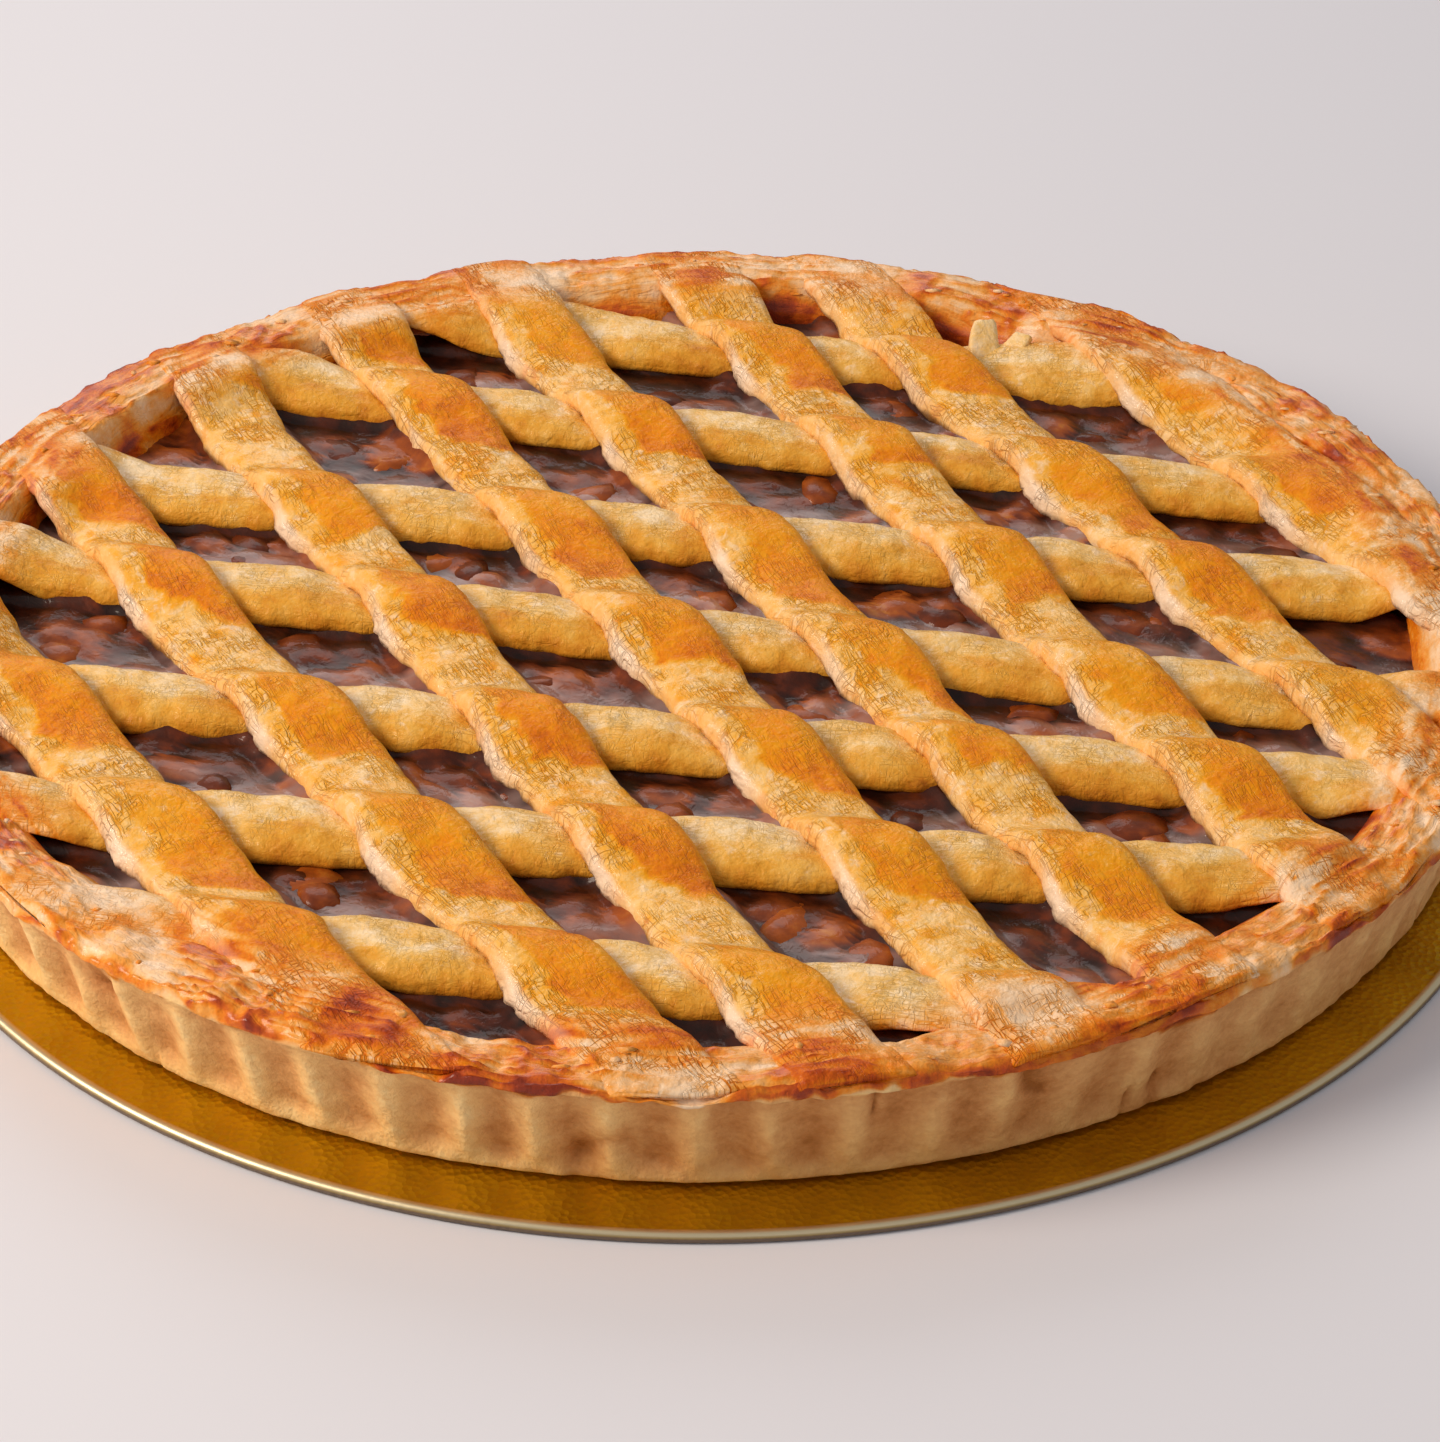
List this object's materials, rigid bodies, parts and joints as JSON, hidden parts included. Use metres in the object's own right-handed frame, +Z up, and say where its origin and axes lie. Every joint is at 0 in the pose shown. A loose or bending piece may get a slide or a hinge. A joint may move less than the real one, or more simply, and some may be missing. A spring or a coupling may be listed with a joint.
{
  "type": "apple pie",
  "caption": "Round apple pie with a fluted pastry case, glazed lattice strips over diced apples in syrup, on a thin gold cake card.",
  "frame": {"origin": "on the surface that the card lies on, under the middle of the pie and card together", "axes": "+Z up; -Y is the front, where the card shows beyond the pie; the lower strips run nearly along X"},
  "size_m": [0.3056, 0.3101, 0.0299],
  "materials": {
    "gold_card": "bright gold foil laminated on card, with a fine pebbled grain",
    "pastry_wall": "baked short pastry, dry and matt, with a fine crumb",
    "apples_in_syrup": "dark diced apples under wet, clear syrup",
    "glazed_pastry_pale": "pale golden pastry under a thin glaze",
    "glazed_pastry_brown": "golden to orange-brown pastry under a glossy glaze"
  },
  "bodies": {
    "root": {"cake_card": "gold_card", "pastry_case": "pastry_wall", "apple_filling": "apples_in_syrup", "lower_strip_1": "glazed_pastry_pale", "lower_strip_2": "glazed_pastry_pale", "lower_strip_3": "glazed_pastry_pale", "lower_strip_4": "glazed_pastry_pale", "lower_strip_5": "glazed_pastry_pale", "lower_strip_6": "glazed_pastry_pale", "lower_strip_7": "glazed_pastry_pale", "upper_strip_1": "glazed_pastry_brown", "upper_strip_2": "glazed_pastry_brown", "upper_strip_3": "glazed_pastry_brown", "upper_strip_4": "glazed_pastry_brown", "upper_strip_5": "glazed_pastry_brown", "upper_strip_6": "glazed_pastry_brown", "upper_strip_7": "glazed_pastry_brown", "upper_strip_8": "glazed_pastry_brown"}
  },
  "joints": []
}
